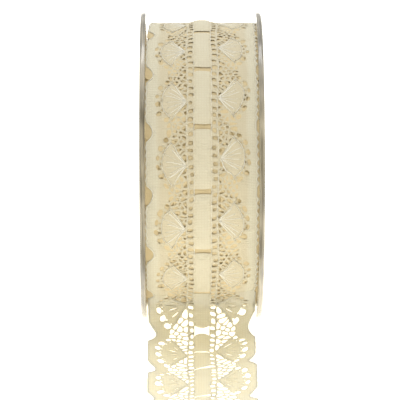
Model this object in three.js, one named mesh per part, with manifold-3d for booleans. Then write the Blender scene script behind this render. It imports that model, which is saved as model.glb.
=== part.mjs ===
// A spool of cream lace ribbon: two clear moulded flanges, the wound lace, and its loose end in front.
// Millimetres, +Z up, with the floor at z = 0. The spool's axle runs along X, the loose end towards -Y.
// A place on the lace is given by u, across it from its middle line, and v, along it from where the
// loose end leaves the roll: v is negative up the roll and positive along the loose end.
import * as THREE from "three";
import { mergeVertices } from "three/addons/utils/BufferGeometryUtils.js";
import Module from "manifold-3d";

const wasm = await Module();
wasm.setup();

// Spool
const FLANGE_RADIUS = 72;
const FLANGE_THICKNESS = 2.5;
const FLANGE_SEGMENTS = 56;
const RIM_ROUNDING = 1.1;
const BETWEEN_FLANGES = 51.4;
const HUB_BORE_RADIUS = 16;
const HUB_WALL = 3.7;
const BORE_CHAMFER = 0.8;
const FLAT_SPOT_HALF_LENGTH = 8;
const CLEARANCE = 0.3;

// Wound lace
const LACE_WIDTH = 50;
const LACE_THICKNESS = 1.2;
const ROLL_RADIUS = 67.6;
const ROLL_STEPS = 120;
const BORE_STEPS = 48;
const LEAVE_ANGLE = 50; // degrees below the axle, at the front, where the loose end leaves

// Lace repeat, the same for the roll and the loose end
const PERIOD = 29.4;
const FIRST_SLIT = 16.5; // v of the first slit on the loose end
const LEFT_LEAD = 2.6; // how far the left half of the lace runs ahead of the right half
const LEAD_FROM = 2.5; // the lead grows from this far left of the middle line
const LEAD_TO = 7;
const TAB_HALF_WIDTH = 3.2;
const TAB_RISE = 1.3;
const TAB_SINK = 0.6; // how far a raised tab reaches into the roll, so that the two join
const TAB_STEPS = 10;
const TAB_FLATNESS = 5; // the higher, the flatter a tab lies between its two ends
const SLIT_HALF_WIDTH = 3.7;
const SLIT_OPENING = 2.6;
const NOTCH = { depth: 3.2, halfHeight: 4.8 };
// On the roll's right side the edge is pressed to the flange, which leaves only the ends of its notches.
const PRESSED_NOTCH = { depth: 0.9, halfHeight: 2.2 };
const NOTCH_SIDES = 10;
const FAN_APEX_U = 6.9;
const RING = { radius: 13.4, holes: 6, spread: 98, halfU: 1.15, halfV: 1.15, sides: 5 };
const LADDER = { u: 4.9, holes: 8, halfU: 1.1, halfV: 0.95, sides: 4 };

// Loose end
const TAIL_REACH = 118; // from the axle to the cut end
const PEEL_RADIUS = 8;
const PEEL_HEADING = 60; // degrees forward of straight down, where the fall ends
const TAIL_ROWS = { peel: 8, landing: 12, floor: 24 };
const TAIL_COLUMNS = [-1, -0.75, -0.5, -0.24, -0.128, 0.128, 0.24, 0.5, 0.75, 1]; // shares of half the width
const TAIL_TAB_RISE = 0.8;
const TAIL_NOTCH = { depth: 3.4, halfHeight: 8.2, softness: 1.7 }; // opens wide where the edge hangs free
const RIGHT_LAG = { by: 2.5, from: 15 }; // the right edge hangs back, more and more from this far across
const EDGE_MARGIN = 1.5; // lace left between a hole and a cut end
const THROUGH = 4; // half the length of a prism that cuts through the sheet
// Slits along the loose end: place in periods from the first one, opening, and degrees turned in the sheet.
const TAIL_SLITS = [
  { period: 0, opening: 4.6, turn: 0 },
  { period: 0.5, opening: 0.9, turn: 0 },
  { period: 1, opening: 1.8, turn: 22 },
  { period: 2, opening: 1.8, turn: 18 },
];
// Holes of the net on the loose end: place across, distance from the slit line, and half sizes.
const NET = [
  { u: 8.6, fromSlit: 0, halfU: 1.2, halfV: 1.3, sides: 5 },
  { u: 11.8, fromSlit: 0, halfU: 1.3, halfV: 1.2, sides: 5 },
  { u: 10.2, fromSlit: 3.2, halfU: 1.2, halfV: 1.2, sides: 5 },
];
// Low waves of the loose end, from where it meets the floor: place, half length, and height across it.
const TAIL_WAVES = [
  { at: -8, reach: 16, left: 4.2, middle: 0.2, right: 4.0 },
  { at: 9, reach: 12, left: 0.6, middle: 0, right: 5.0 },
  { at: 20, reach: 12, left: 3.2, middle: 0.7, right: 0.6 },
  { at: 44, reach: 11, left: 1.4, middle: 0.6, right: 1.8 },
];

// Worked out from the sizes above
const AXLE_Z = Math.sqrt(FLANGE_RADIUS ** 2 - FLAT_SPOT_HALF_LENGTH ** 2);
const AXLE_Y = (TAIL_REACH - FLANGE_RADIUS) / 2;
const HUB_RADIUS = HUB_BORE_RADIUS + HUB_WALL;
const HALF_WIDTH = LACE_WIDTH / 2;
const FULL_TURN = 2 * Math.PI;
const leave = THREE.MathUtils.degToRad(LEAVE_ANGLE);

const clearPlastic = new THREE.MeshStandardMaterial({
  color: 0xd6d4cb,
  roughness: 0.12,
  metalness: 0,
  transparent: true,
  opacity: 0.4,
});
const woundLace = new THREE.MeshStandardMaterial({ color: 0xdcd2b0, roughness: 0.9, metalness: 0 });
const looseLace = new THREE.MeshStandardMaterial({ color: 0xe9e2c8, roughness: 0.9, metalness: 0 });

// Solids from geometries, and back
function solidOf(geometry) {
  const bare = geometry.clone();
  bare.deleteAttribute("normal");
  bare.deleteAttribute("uv");
  const merged = mergeVertices(bare, 1e-4);
  return new wasm.Manifold(
    new wasm.Mesh({
      numProp: 3,
      vertProperties: new Float32Array(merged.attributes.position.array),
      triVerts: new Uint32Array(merged.index.array),
    }),
  );
}

function geometryOf(solid) {
  const mesh = solid.getMesh();
  const geometry = new THREE.BufferGeometry();
  geometry.setAttribute("position", new THREE.BufferAttribute(mesh.vertProperties, 3));
  geometry.setIndex(new THREE.BufferAttribute(mesh.triVerts, 1));
  geometry.computeVertexNormals();
  return geometry;
}

const joinAll = (solids) => solids.reduce((all, one) => all.add(one));

function node(name, solid, material) {
  const mesh = new THREE.Mesh(geometryOf(solid), material);
  mesh.name = name;
  return mesh;
}

// Flange: a disc with a rounded rim and half of the hub, turned about the axle, with a flat spot to stand on
function flange(side) {
  const inside = BETWEEN_FLANGES / 2;
  const outside = inside + FLANGE_THICKNESS;
  const rim = new THREE.Path();
  rim.moveTo(HUB_BORE_RADIUS, CLEARANCE / 2);
  rim.lineTo(HUB_RADIUS, CLEARANCE / 2);
  rim.lineTo(HUB_RADIUS, inside);
  rim.lineTo(FLANGE_RADIUS, inside);
  rim.lineTo(FLANGE_RADIUS, outside - RIM_ROUNDING);
  rim.absarc(FLANGE_RADIUS - RIM_ROUNDING, outside - RIM_ROUNDING, RIM_ROUNDING, 0, Math.PI / 2);
  rim.lineTo(HUB_BORE_RADIUS + BORE_CHAMFER, outside);
  rim.lineTo(HUB_BORE_RADIUS, outside - BORE_CHAMFER);
  rim.closePath();
  const turned = new THREE.LatheGeometry(rim.getPoints(2), FLANGE_SEGMENTS);
  turned.rotateZ(-Math.PI / 2);
  if (side < 0) turned.rotateZ(Math.PI);
  turned.translate(0, AXLE_Y, AXLE_Z);
  const floor = new THREE.BoxGeometry(4 * LACE_WIDTH, 2 * FLANGE_RADIUS, FLANGE_RADIUS);
  floor.translate(0, AXLE_Y, -FLANGE_RADIUS / 2);
  return solidOf(turned).subtract(solidOf(floor));
}

// One repeat of the lace: its holes, as places from the slit that starts it
function repeatHoles() {
  const holes = [];
  const step = THREE.MathUtils.degToRad(RING.spread / (RING.holes - 1));
  for (const side of [-1, 1]) {
    for (let i = 0; i < RING.holes; i++) {
      const angle = (i - (RING.holes - 1) / 2) * step;
      const u = side * (FAN_APEX_U + RING.radius * Math.cos(angle));
      holes.push({ ...RING, u, v: PERIOD / 2 + RING.radius * Math.sin(angle), kind: "ring" });
    }
    for (let i = 0; i < LADDER.holes; i++) {
      const v = ((i + 0.5) / LADDER.holes) * PERIOD;
      holes.push({ ...LADDER, u: side * LADDER.u, v, kind: "ladder" });
    }
    for (const row of NET) {
      const ends = row.fromSlit ? [row.fromSlit, PERIOD - row.fromSlit] : [0];
      for (const v of ends) holes.push({ ...row, u: side * row.u, v, kind: "net" });
    }
  }
  return holes;
}

// How far ahead the lace runs at this place across it
function leadAt(u) {
  return LEFT_LEAD * THREE.MathUtils.clamp((-u - LEAD_FROM) / (LEAD_TO - LEAD_FROM), 0, 1);
}

// A straight-sided prism with an oval outline, standing on the frame's own XY plane from low to high
function ovalPrism(halfU, halfV, sides, low, high, frame) {
  const outline = new THREE.Shape();
  for (let i = 0; i < sides; i++) {
    const angle = ((i + 0.5) / sides) * FULL_TURN;
    const reach = 1 / Math.cos(Math.PI / sides);
    outline[i ? "lineTo" : "moveTo"](halfU * reach * Math.cos(angle), halfV * reach * Math.sin(angle));
  }
  const prism = new THREE.ExtrudeGeometry(outline, { depth: high - low, bevelEnabled: false });
  prism.translate(0, 0, low);
  prism.applyMatrix4(frame);
  return solidOf(prism);
}

// Roll: the turns lie in a spiral, whose outer end is a step one lace thick where the loose end leaves
function rollRadius(v) {
  return ROLL_RADIUS + (LACE_THICKNESS * v) / (FULL_TURN * ROLL_RADIUS);
}

function rollPoint(v, radius) {
  const angle = leave + v / ROLL_RADIUS;
  return new THREE.Vector2(AXLE_Y - radius * Math.cos(angle), AXLE_Z - radius * Math.sin(angle));
}

function rollFrame(u, v) {
  const angle = leave + v / ROLL_RADIUS;
  const outward = new THREE.Vector3(0, -Math.cos(angle), -Math.sin(angle));
  const across = new THREE.Vector3(1, 0, 0);
  const along = new THREE.Vector3().crossVectors(outward, across);
  const place = rollPoint(v, rollRadius(v));
  return new THREE.Matrix4().makeBasis(across, along, outward).setPosition(u, place.x, place.y);
}

// An outline in the plane across the axle, extruded to a width about the lace's middle line
function acrossTheAxle(shape, halfWidth) {
  const slab = new THREE.ExtrudeGeometry(shape, { depth: 2 * halfWidth, bevelEnabled: false });
  slab.translate(0, 0, -halfWidth);
  slab.applyMatrix4(new THREE.Matrix4().makeBasis(
    new THREE.Vector3(0, 1, 0), new THREE.Vector3(0, 0, 1), new THREE.Vector3(1, 0, 0)));
  return solidOf(slab);
}

function woundTurns() {
  const turn = FULL_TURN * ROLL_RADIUS;
  const outline = [];
  for (let i = 0; i <= ROLL_STEPS; i++) {
    const v = -(i / ROLL_STEPS) * turn;
    outline.push(rollPoint(v, rollRadius(v)));
  }
  const spiral = new THREE.Shape(outline);
  const bore = [];
  for (let i = 0; i < BORE_STEPS; i++) {
    const v = (i / BORE_STEPS) * turn;
    bore.push(rollPoint(v, HUB_RADIUS + CLEARANCE));
  }
  spiral.holes.push(new THREE.Path(bore));
  return acrossTheAxle(spiral, HALF_WIDTH);
}

// A tab of the middle strip, which arches up between two slits
function raisedTab(start) {
  const top = [];
  const under = [];
  const length = PERIOD - SLIT_OPENING;
  for (let i = 0; i <= TAB_STEPS; i++) {
    const share = i / TAB_STEPS;
    const v = start + SLIT_OPENING / 2 + share * length;
    const rise = TAB_RISE * (1 - Math.abs(2 * share - 1) ** TAB_FLATNESS);
    top.push(rollPoint(v, rollRadius(v) + rise));
    under.unshift(rollPoint(v, rollRadius(v) - TAB_SINK));
  }
  return acrossTheAxle(new THREE.Shape([...top, ...under]), TAB_HALF_WIDTH);
}

function roll() {
  const turn = FULL_TURN * ROLL_RADIUS;
  const tabs = [];
  const pits = [];
  const pit = (hole, start) => {
    const v = start + hole.v + leadAt(hole.u);
    if (v > -EDGE_MARGIN || v < EDGE_MARGIN - turn) return;
    const frame = rollFrame(hole.u, v);
    pits.push(ovalPrism(hole.halfU, hole.halfV, hole.sides, -LACE_THICKNESS, THROUGH, frame));
  };
  for (let start = FIRST_SLIT - PERIOD; start > -turn; start -= PERIOD) {
    if (start + PERIOD < 0) tabs.push(raisedTab(start));
    pit({ u: 0, v: 0, halfU: SLIT_HALF_WIDTH, halfV: SLIT_OPENING / 2, sides: 4 }, start);
    for (const [side, notch] of [[-1, NOTCH], [1, PRESSED_NOTCH]]) {
      const oval = { halfU: notch.depth, halfV: notch.halfHeight, sides: NOTCH_SIDES };
      pit({ u: side * HALF_WIDTH, v: 0, ...oval }, start);
    }
    for (const hole of repeatHoles()) {
      if (hole.kind === "ring") pit(hole, start);
    }
  }
  return joinAll([woundTurns(), ...tabs]).subtract(joinAll(pits));
}

// Loose end: its centre line peels off the roll, falls, lands and lies forward on the floor
function tailLine() {
  const start = -leave;
  const fallen = THREE.MathUtils.degToRad(PEEL_HEADING);
  const radius = ROLL_RADIUS - LACE_THICKNESS / 2 + CLEARANCE;
  const peel = { forward: radius * Math.cos(leave), height: AXLE_Z - radius * Math.sin(leave) };
  const landing = {
    forward: peel.forward + PEEL_RADIUS * (Math.cos(start) - Math.cos(fallen)),
    height: peel.height - PEEL_RADIUS * (Math.sin(fallen) - Math.sin(start)),
  };
  const landingRadius = (landing.height - LACE_THICKNESS / 2) / (1 - Math.sin(fallen));
  const peelLength = PEEL_RADIUS * (fallen - start);
  const landingLength = landingRadius * (Math.PI / 2 - fallen);
  const floorAt = landing.forward + landingRadius * Math.cos(fallen);
  const landed = peelLength + landingLength;
  return {
    peelLength,
    landed,
    end: landed + TAIL_REACH - floorAt,
    at(v) {
      if (v < landed) {
        const bend = v < peelLength
          ? { from: peel, heading: start, radius: PEEL_RADIUS, along: v }
          : { from: landing, heading: fallen, radius: landingRadius, along: v - peelLength };
        const heading = bend.heading + bend.along / bend.radius;
        return {
          forward: bend.from.forward + bend.radius * (Math.cos(bend.heading) - Math.cos(heading)),
          height: bend.from.height - bend.radius * (Math.sin(heading) - Math.sin(bend.heading)),
          heading,
        };
      }
      return { forward: floorAt + v - landed, height: LACE_THICKNESS / 2, heading: Math.PI / 2 };
    },
  };
}

const line = tailLine();

// A smooth hump from 0 at -1, through 1 at 0, to 0 at 1
const hump = (x) => (Math.abs(x) < 1 ? Math.cos((Math.PI / 2) * x) ** 2 : 0);

function waveHeight(u, v) {
  const share = u / HALF_WIDTH;
  const across = ({ left, middle, right }) => middle + ((share < 0 ? left : right) - middle) * share ** 2;
  return TAIL_WAVES.reduce(
    (sum, wave) => sum + across(wave) * hump((v - line.landed - wave.at) / wave.reach), 0);
}

// How far v lies from the nearest slit line at this place across the lace
function fromSlit(u, v) {
  const lagging = THREE.MathUtils.clamp((u - RIGHT_LAG.from) / (HALF_WIDTH - RIGHT_LAG.from), 0, 1);
  const along = v - leadAt(u) + RIGHT_LAG.by * lagging - FIRST_SLIT;
  return along - PERIOD * Math.round(along / PERIOD);
}

function tailHalfWidth(side, v) {
  const away = Math.min(1, Math.abs(fromSlit(side * HALF_WIDTH, v)) / TAIL_NOTCH.halfHeight);
  return HALF_WIDTH - TAIL_NOTCH.depth * (1 - away ** 2) ** TAIL_NOTCH.softness;
}

function tailFrame(u, v) {
  const { forward, height, heading } = line.at(v);
  const outward = new THREE.Vector3(0, -Math.cos(heading), Math.sin(heading));
  const across = new THREE.Vector3(1, 0, 0);
  const along = new THREE.Vector3().crossVectors(outward, across);
  const z = height + waveHeight(u, v);
  return new THREE.Matrix4().makeBasis(across, along, outward).setPosition(u, AXLE_Y - forward, z);
}

// Rows of the sheet along v: close together in the bends, wider apart on the floor
function tailRows() {
  const stretches = [
    { from: CLEARANCE, to: line.peelLength, rows: TAIL_ROWS.peel },
    { from: line.peelLength, to: line.landed, rows: TAIL_ROWS.landing },
    { from: line.landed, to: line.end, rows: TAIL_ROWS.floor },
  ];
  const rows = [CLEARANCE];
  for (const { from, to, rows: count } of stretches) {
    for (let i = 1; i <= count; i++) rows.push(from + ((to - from) * i) / count);
  }
  return rows;
}

function tailSheet() {
  const rows = tailRows();
  const columns = TAIL_COLUMNS.length;
  const positions = [];
  const faces = [];
  for (const face of [1, -1]) {
    for (const v of rows) {
      for (const share of TAIL_COLUMNS) {
        const u = share * tailHalfWidth(Math.sign(share), v);
        const onTab = Math.abs(u) < SLIT_HALF_WIDTH;
        const rise = onTab ? TAIL_TAB_RISE * Math.sin((Math.PI * fromSlit(u, v)) / PERIOD) ** 2 : 0;
        const point = new THREE.Vector3(0, 0, rise + (face * LACE_THICKNESS) / 2);
        positions.push(...point.applyMatrix4(tailFrame(u, v)).toArray());
      }
    }
  }
  const under = rows.length * columns;
  const quad = (a, b, c, d) => faces.push(a, b, c, a, c, d);
  for (let r = 0; r + 1 < rows.length; r++) {
    for (let c = 0; c + 1 < columns; c++) {
      const at = r * columns + c;
      quad(at, at + columns, at + columns + 1, at + 1);
      quad(under + at, under + at + 1, under + at + columns + 1, under + at + columns);
    }
    const left = r * columns;
    const right = left + columns - 1;
    quad(left, under + left, under + left + columns, left + columns);
    quad(right, right + columns, under + right + columns, under + right);
  }
  const last = (rows.length - 1) * columns;
  for (let c = 0; c + 1 < columns; c++) {
    quad(c, c + 1, under + c + 1, under + c);
    quad(last + c, under + last + c, under + last + c + 1, last + c + 1);
  }
  const sheet = new THREE.BufferGeometry();
  sheet.setAttribute("position", new THREE.Float32BufferAttribute(positions, 3));
  sheet.setIndex(faces);
  return solidOf(sheet);
}

function tail() {
  const cuts = [];
  const cut = (u, v, halfU, halfV, sides, turn = 0) => {
    if (v - halfV < CLEARANCE + EDGE_MARGIN || v + halfV > line.end - EDGE_MARGIN) return;
    const frame = tailFrame(u, v).multiply(new THREE.Matrix4().makeRotationZ(turn));
    cuts.push(ovalPrism(halfU, halfV, sides, -THROUGH, THROUGH, frame));
  };
  for (const { period, opening, turn } of TAIL_SLITS) {
    cut(0, FIRST_SLIT + period * PERIOD, SLIT_HALF_WIDTH, opening / 2, 4, THREE.MathUtils.degToRad(turn));
  }
  for (let start = FIRST_SLIT - PERIOD; start < line.end; start += PERIOD) {
    for (const hole of repeatHoles()) {
      cut(hole.u, start + hole.v + leadAt(hole.u), hole.halfU, hole.halfV, hole.sides);
    }
  }
  return tailSheet().subtract(joinAll(cuts));
}

const spool = new THREE.Group();
spool.name = "spool_of_lace_ribbon";
spool.add(node("flange_left", flange(-1), clearPlastic));
spool.add(node("flange_right", flange(1), clearPlastic));
spool.add(node("lace_roll", roll(), woundLace));
spool.add(node("lace_tail", tail(), looseLace));

export default spool;
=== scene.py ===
"""A spool of cream lace ribbon between two clear flanges, with its loose end lying out in front.

Lengths are millimetres until a mesh is made. A place on the lace is (u, v): u runs across it from its
middle line, and v runs along it from where the loose end leaves the roll, negative up the roll.
Inside one repeat of the pattern, t runs from the slit that starts it to the slit that ends it.
"""
import math

import bmesh
import bpy
import numpy as np
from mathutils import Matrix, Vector
from mathutils.geometry import delaunay_2d_cdt


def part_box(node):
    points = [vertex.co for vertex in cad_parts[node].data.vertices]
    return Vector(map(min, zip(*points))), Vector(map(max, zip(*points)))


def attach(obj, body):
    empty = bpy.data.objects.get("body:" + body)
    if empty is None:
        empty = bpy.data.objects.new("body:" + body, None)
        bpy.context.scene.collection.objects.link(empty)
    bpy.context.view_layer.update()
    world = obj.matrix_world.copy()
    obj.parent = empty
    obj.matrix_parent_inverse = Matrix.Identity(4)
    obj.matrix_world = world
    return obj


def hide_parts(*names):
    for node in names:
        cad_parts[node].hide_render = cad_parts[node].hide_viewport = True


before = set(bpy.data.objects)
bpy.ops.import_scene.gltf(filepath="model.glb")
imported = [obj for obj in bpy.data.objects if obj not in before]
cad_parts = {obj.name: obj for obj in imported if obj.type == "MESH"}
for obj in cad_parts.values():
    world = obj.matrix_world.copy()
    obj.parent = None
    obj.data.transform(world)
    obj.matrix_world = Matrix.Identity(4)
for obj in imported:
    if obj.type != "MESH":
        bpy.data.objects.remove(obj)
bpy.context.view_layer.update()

MM = 0.001


def node_box(name):
    low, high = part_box(name)
    return np.array(low) / MM, np.array(high) / MM


# Spool, from the frame
flange_low, flange_high = node_box("flange_right")
FLANGE_RADIUS = (flange_high[1] - flange_low[1]) / 2
FLANGE_OUTSIDE = flange_high[0]
AXLE_Y = (flange_high[1] + flange_low[1]) / 2
AXLE_Z = flange_high[2] - FLANGE_RADIUS
HALF_WIDTH = node_box("lace_roll")[1][0]
TAIL_REACH = AXLE_Y - node_box("lace_tail")[0][1]

# Spool, as the solids have it
FLANGE_THICKNESS = 2.5
HUB_BORE_RADIUS = 16.0
HUB_RADIUS = 19.7
CLEARANCE = 0.3

# Wound lace
TURN_STEP = 1.2
ROLL_RADIUS = 67.6
LEAVE_ANGLE = math.radians(50)
PERIOD = 29.4
FIRST_SLIT = 16.5
ROLL_REPEATS = 14
REPEAT_KINDS = 7  # repeats that differ, before the first comes round again
UNDER_LIFT = 0.95  # the next turn lies this much nearer to the outer one than the solid's turns do
DRUM_HALF_WIDTH = 17.0
BODY_DEPTH = 0.7  # the turns under the outer two begin this far down
BODY_STEP = 2.4  # distance between points round an inner turn
# Edge of an inner turn: its height as a share of the step, how far down it reaches out most, and how far in
# its top and bottom lie.
BODY_EDGE = {"share": 0.9, "out_at": 0.45, "top_in": 0.25, "bottom_in": 0.2}

# Loose end
SHEET_MIDDLE = 0.6  # height of the sheet's middle where it lies on the floor
PEEL_RADIUS = 8.0
PEEL_HEADING = math.radians(60)
TAIL_REPEATS = 4
LOOSE_THICKNESS = 0.45
END_INSET = 0.1  # it is cut this far short of the solid's end
TAIL_WAVES = [
    {"at": -8, "reach": 16, "left": 4.2, "middle": 0.2, "right": 4.0},
    {"at": 9, "reach": 12, "left": 0.6, "middle": 0.0, "right": 5.0},
    {"at": 20, "reach": 12, "left": 3.2, "middle": 0.7, "right": 0.6},
    {"at": 44, "reach": 11, "left": 1.4, "middle": 0.6, "right": 1.8},
]
# Slits along the loose end: place in periods from the first one, opening in the middle and at the ends,
# and degrees turned in the sheet.
TAIL_SLITS = [
    {"period": -1, "middle": 2.2, "ends": 2.8, "turn": 0},
    {"period": 0, "middle": 3.4, "ends": 6.2, "turn": 0},
    {"period": 0.5, "middle": 1.0, "ends": 1.2, "turn": 0},
    {"period": 1, "middle": 1.6, "ends": 2.4, "turn": 22},
    {"period": 2, "middle": 1.6, "ends": 2.4, "turn": 18},
    {"period": 3, "middle": 1.6, "ends": 2.4, "turn": 0},
]

# Lace repeat
TAB_HALF_WIDTH = 3.2
TAB_TONE = 0.6  # share of the second colour on the middle strip
BORDER_U = (18.5, 21.0)  # the borders' colour comes in between these
SLIT_HALF_WIDTH = 3.7
ROLL_SLIT = {"middle": 2.2, "ends": 2.8}
# Notches of the two edges at a slit line: depth, half height, and softness of the corners. On the roll the
# right edge is pressed to the flange, and where the lace hangs free they open wide.
NOTCHES = {
    "wound": {-1: (3.2, 4.8, 0.85), 1: (0.9, 2.2, 0.85)},
    "loose": {-1: (3.4, 8.2, 1.7), 1: (3.4, 8.2, 1.7)},
}
PICOTS = 8
LEFT_PICOT_SHARE = 0.4  # the left edge is smoother
FAN_APEX_U = 6.9
FAN_RADIUS = 11.2
FAN_HALF_ANGLE = 54.0
# Surface beside a hole and along the edges: a raised rim round each hole, and falls to the cut.
HOLE_RIM = {"rise": 0.12, "at": 0.35, "width": 0.25}
HOLE_FALL = {"by": 0.16, "within": 0.14}
EDGE_FALL = {"by": 0.15, "within": 0.3}
# Least distance of the sheet's inner points from holes, edges and seams.
POINT_CLEAR = {"hole": 0.25, "edge": 0.35, "seam": 0.3}

# How unevenly the lace lies. Its left half runs ahead of the right half, and its right edge hangs back as it
# comes off the roll.
LEFT_LEAD = {"from_u": 2.5, "full_u": 7.0, "by": 2.8, "edge_by": 2.4}
RIGHT_LAG = {"from_u": 15, "from_v": -70, "by": 2.5}
# The left edge draws in over the top of the roll, about an angle.
LEFT_PULL = {"from_u": 10, "at": math.radians(-111), "reach": math.radians(46), "by": 1.5}
# The pattern sits off the middle on the roll, and comes back to it between two places along the lace.
DRIFT_AT_U = [-25, -19, -7, 0, 7, 19, 25]
DRIFT_BY = [0, 0, -0.35, 0.45, 0.9, 0.85, 0]
DRIFT_ENDS_V = (-25, 8)

# Ribs of a fan: angle about its apex, and thickness.
FAN_RIBS = [
    {"angle": -41, "radius": 0.3},
    {"angle": -24, "radius": 0.2},
    {"angle": -9, "radius": 0.24},
    {"angle": 7, "radius": 0.2},
    {"angle": 22, "radius": 0.25},
    {"angle": 38, "radius": 0.32},
]
RIB_START = 0.6
RIB_SHARE = (0.75, 0.98)  # length of a rib, as a share of the fan's radius
ARC_THREAD = {"height": 0.12, "radius": 0.17}  # round a fan
# Thick thread along a fan's side, up to its apex: place across, distance from the slit line, and thickness.
GIMP = [(13.9, 4.6, 0.1), (12.2, 7.2, 0.18), (10.4, 9.8, 0.34), (FAN_APEX_U, PERIOD / 2, 0.28)]
GIMP_HEIGHT = 0.1
EDGE_THREAD = {"inset": 0.5, "radius": 0.22}
LADDER_THREADS = [{"u": 6.3, "radius": 0.15}, {"u": 3.6, "radius": 0.17}]
LADDER_THREAD_SUNK = 0.07
# Small slits in a fan of the loose end: share of the fan that they spread over, and limits of their distance
# from its apex and of their half sizes.
FAN_SLIT = {"spread": 0.9, "reach": (6.2, 7.4), "half_length": (1.6, 3.2), "half_width": (0.18, 0.32)}
# Holes round a fan: angle about its apex, and half sizes along and across its radius.
RING_RADIUS = 13.5
RING = [
    {"angle": -49, "along": 1.1, "across": 1.25},
    {"angle": -30, "along": 1.2, "across": 1.45},
    {"angle": -11, "along": 1.05, "across": 1.3},
    {"angle": 9, "along": 1.1, "across": 1.35},
    {"angle": 29, "along": 1.3, "across": 1.45},
    {"angle": 48, "along": 1.15, "across": 1.4},
]
DOT_RADIUS = 11.9
DOT_ANGLES = range(-48, 49, 12)
DOT_SIZE = 0.48
# Net between two fans
NET_INNER_U = 6.7
NET_OUTER_U = 15.3
NET_FROM_FAN = 0.55
NET_CORNER = [(0.8, 2.6), (1.5, 4.5)]  # places of more holes beside a fan's apex, in from the net's corner
NET_MARGIN = 0.9  # first row and first hole, in from the net's end and inner side
NET_END_MARGIN = 0.8  # the rows stop this far before the other end
NET_ROW_SHARE = 0.87  # distance between rows, as a share of the pitch
NET_CLEAR = 0.45  # least distance of a hole's middle from the net's border
NET_LEAST_HOLE = 0.6  # narrower holes are left out
# Ladder holes beside the middle strip
LADDER_U = 4.9
LADDER_HALF_U = 1.05
LADDER_HALF_T = 1.0

# How the lace is worked where it is wound tight, in the turn under that, and where it hangs loose: pitch,
# thread and scatter of the net, widening of the holes, numbers of ladder holes and fan slits, size of the
# picots, spread of the edges, spacing of the sheet's points, rise of fans and tabs, and threads laid on them.
WOUND = {
    "pitch": 2.35, "thread": 0.9, "scatter": 0.42, "widen": 0.0, "ladder": 8, "fan_slits": 0, "picot": 0.9,
    "spread": 0.6, "spacing": 1.1, "fan_rise": 0.2, "tab_rise": 1.5, "ribbed": True, "gimp": 1.0,
}
UNDER = {
    "pitch": 2.35, "thread": 1.25, "scatter": 0.42, "widen": 0.0, "ladder": 0, "fan_slits": 0, "picot": 0.0,
    "spread": 0.62, "spacing": 1.5, "fan_rise": 0.1, "tab_rise": 0.4,
}
LOOSE = {
    "pitch": 2.9, "thread": 0.5, "scatter": 0.6, "widen": 0.2, "ladder": 8, "fan_slits": 4, "picot": 0.2,
    "spread": 0.0, "spacing": 1.1, "fan_rise": 0.2, "tab_rise": 0.7, "ribbed": False, "gimp": 0.5,
}
WOUND_ENDS = ("wound", "wound")

# Where the random draws start. Each repeat, and each net, adds its own number.
SEEDS = {
    "outer": 1, "body": 7, "loose": 11, "under": 21, "loose_threads": 30,
    "holes": 500, "threads": 700, "net": 9000,
}
LOOSE_NETS = 30  # nets of the loose end are numbered from here


# Where the lace lies

def hump(x):
    """1 at 0, falling smoothly to 0 at -1 and 1."""
    return np.where(np.abs(x) < 1, np.cos(np.pi / 2 * np.clip(x, -1, 1)) ** 2, 0.0)


def smooth(x, low, high):
    """0 at low, 1 at high, and smooth between."""
    s = np.clip((x - low) / (high - low), 0, 1)
    return s * s * (3 - 2 * s)


def spiral(v):
    """Angle below the axle at the front, and radius, of the wound lace."""
    back = np.maximum(-v, 0)
    turned = 2 * np.pi * (ROLL_RADIUS - np.sqrt(ROLL_RADIUS**2 - TURN_STEP * back / np.pi)) / TURN_STEP
    return LEAVE_ANGLE - turned, ROLL_RADIUS - TURN_STEP * turned / (2 * np.pi)


class TailLine:
    """Centre line of the loose end: it peels off the roll, slopes down, and lies on the floor."""

    start = -LEAVE_ANGLE
    peel = (ROLL_RADIUS * math.cos(LEAVE_ANGLE), AXLE_Z - ROLL_RADIUS * math.sin(LEAVE_ANGLE))
    landing = (
        peel[0] + PEEL_RADIUS * (math.cos(start) - math.cos(PEEL_HEADING)),
        peel[1] - PEEL_RADIUS * (math.sin(PEEL_HEADING) - math.sin(start)),
    )
    landing_radius = (landing[1] - SHEET_MIDDLE) / (1 - math.sin(PEEL_HEADING))
    peel_length = PEEL_RADIUS * (PEEL_HEADING - start)
    landed = peel_length + landing_radius * (math.pi / 2 - PEEL_HEADING)
    floor_at = landing[0] + landing_radius * math.cos(PEEL_HEADING)
    end = landed + TAIL_REACH - floor_at

    @classmethod
    def at(cls, v):
        """Distance in front of the axle, height and heading."""
        past_peel = np.clip(v - cls.peel_length, 0, cls.landed - cls.peel_length)
        peeling = cls.start + np.clip(v, 0, cls.peel_length) / PEEL_RADIUS
        falling = PEEL_HEADING + past_peel / cls.landing_radius
        on_peel = v < cls.peel_length
        forward = np.where(
            on_peel,
            cls.peel[0] + PEEL_RADIUS * (np.cos(cls.start) - np.cos(peeling)),
            cls.landing[0] + cls.landing_radius * (np.cos(PEEL_HEADING) - np.cos(falling)),
        )
        height = np.where(
            on_peel,
            cls.peel[1] - PEEL_RADIUS * (np.sin(peeling) - np.sin(cls.start)),
            cls.landing[1] - cls.landing_radius * (np.sin(falling) - np.sin(PEEL_HEADING)),
        )
        return forward + np.maximum(v - cls.landed, 0), height, np.where(on_peel, peeling, falling)


def tail_wave(u, v):
    share = u / HALF_WIDTH
    height = np.zeros(np.shape(v))
    for wave in TAIL_WAVES:
        edge = np.where(share < 0, wave["left"], wave["right"])
        across = wave["middle"] + (edge - wave["middle"]) * share**2
        height = height + across * hump((v - TailLine.landed - wave["at"]) / wave["reach"])
    return height


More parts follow.
